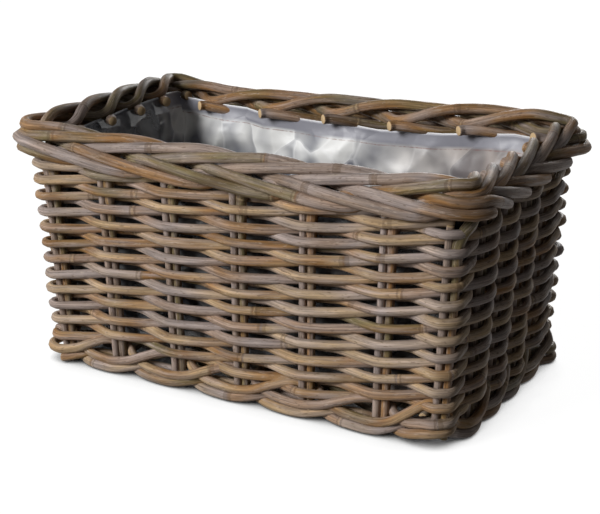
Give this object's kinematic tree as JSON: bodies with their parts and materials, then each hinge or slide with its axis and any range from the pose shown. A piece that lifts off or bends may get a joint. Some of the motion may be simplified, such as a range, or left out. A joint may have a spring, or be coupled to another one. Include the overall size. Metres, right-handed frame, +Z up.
{
  "type": "rattan planter",
  "caption": "Rectangular woven planter of round grey rattan rods, with walls randed over stake pairs, a plaited border, a mat base and a loose clear film liner.",
  "frame": {"origin": "centre of the planter's outline, on the floor under the stakes' cut feet", "axes": "+X along the length, to the right seen from the front; -Y towards the front wall; +Z up"},
  "size_m": [0.453, 0.2568, 0.2299],
  "materials": {
    "stake_rods": "weathered grey-brown rattan rod, satin",
    "weaver_rods": "weathered grey-brown rattan rod, satin",
    "wale_rods": "weathered grey-brown rattan rod, satin",
    "base_rods": "weathered grey-brown rattan rod, satin",
    "film": "clear thin film, creased"
  },
  "bodies": {
    "root": {"stake_01": "stake_rods", "stake_02": "stake_rods", "stake_03": "stake_rods", "stake_04": "stake_rods", "stake_05": "stake_rods", "stake_06": "stake_rods", "stake_07": "stake_rods", "stake_08": "stake_rods", "stake_09": "stake_rods", "stake_10": "stake_rods", "stake_11": "stake_rods", "stake_12": "stake_rods", "stake_13": "stake_rods", "stake_14": "stake_rods", "stake_15": "stake_rods", "stake_16": "stake_rods", "stake_17": "stake_rods", "stake_18": "stake_rods", "stake_19": "stake_rods", "stake_20": "stake_rods", "stake_21": "stake_rods", "stake_22": "stake_rods", "weaver_01_a": "weaver_rods", "weaver_01_b": "weaver_rods", "weaver_02_a": "weaver_rods", "weaver_02_b": "weaver_rods", "weaver_03_a": "weaver_rods", "weaver_03_b": "weaver_rods", "weaver_04_a": "weaver_rods", "weaver_04_b": "weaver_rods", "weaver_05_a": "weaver_rods", "weaver_05_b": "weaver_rods", "weaver_06_a": "weaver_rods", "weaver_06_b": "weaver_rods", "weaver_07_a": "weaver_rods", "weaver_07_b": "weaver_rods", "weaver_08_a": "weaver_rods", "weaver_08_b": "weaver_rods", "weaver_09_a": "weaver_rods", "weaver_09_b": "weaver_rods", "weaver_10_a": "weaver_rods", "weaver_10_b": "weaver_rods", "weaver_11_a": "weaver_rods", "weaver_11_b": "weaver_rods", "weaver_12_a": "weaver_rods", "weaver_12_b": "weaver_rods", "wale_1_a": "wale_rods", "wale_1_b": "wale_rods", "wale_2_a": "wale_rods", "wale_2_b": "wale_rods", "base_stick_1": "base_rods", "base_stick_2": "base_rods", "base_stick_3": "base_rods", "base_stick_4": "base_rods", "base_stick_5": "base_rods", "base_stick_6": "base_rods", "base_stick_7": "base_rods", "base_weaver": "base_rods", "liner": "film"}
  },
  "joints": []
}
